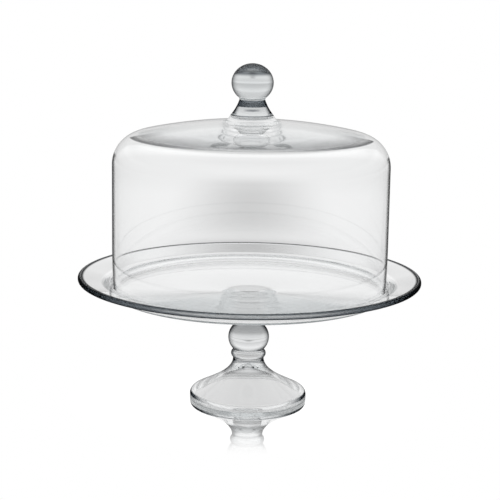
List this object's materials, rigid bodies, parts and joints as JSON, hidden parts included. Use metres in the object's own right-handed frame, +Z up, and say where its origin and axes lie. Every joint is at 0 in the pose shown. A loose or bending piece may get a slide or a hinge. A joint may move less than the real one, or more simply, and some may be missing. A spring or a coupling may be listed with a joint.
{
  "type": "cake stand with dome",
  "caption": "Footed clear glass cake plate with a sunk well, and a loose straight-walled glass dome lifted off by its ball knob.",
  "frame": {"origin": "middle of the foot's ground ring, on the surface that the stand rests on", "axes": "+Z up along the common axis of stand and dome; X and Y are free, because every piece is a body of revolution"},
  "size_m": [0.33, 0.33, 0.3249],
  "materials": {
    "clear_glass": "polished, clear, faintly grey-green where it is thick"
  },
  "bodies": {
    "stand": {"foot": "clear_glass", "stem_collar": "clear_glass", "stem_ball": "clear_glass", "stem_neck": "clear_glass", "cake_plate": "clear_glass"},
    "dome": {"dome_shell": "clear_glass", "dome_knob": "clear_glass"}
  },
  "joints": [
    {"name": "dome_lift", "type": "slide", "parent": "stand", "child": "dome", "axis": [0, 0, 1], "range_m": [0, 0.18]}
  ]
}
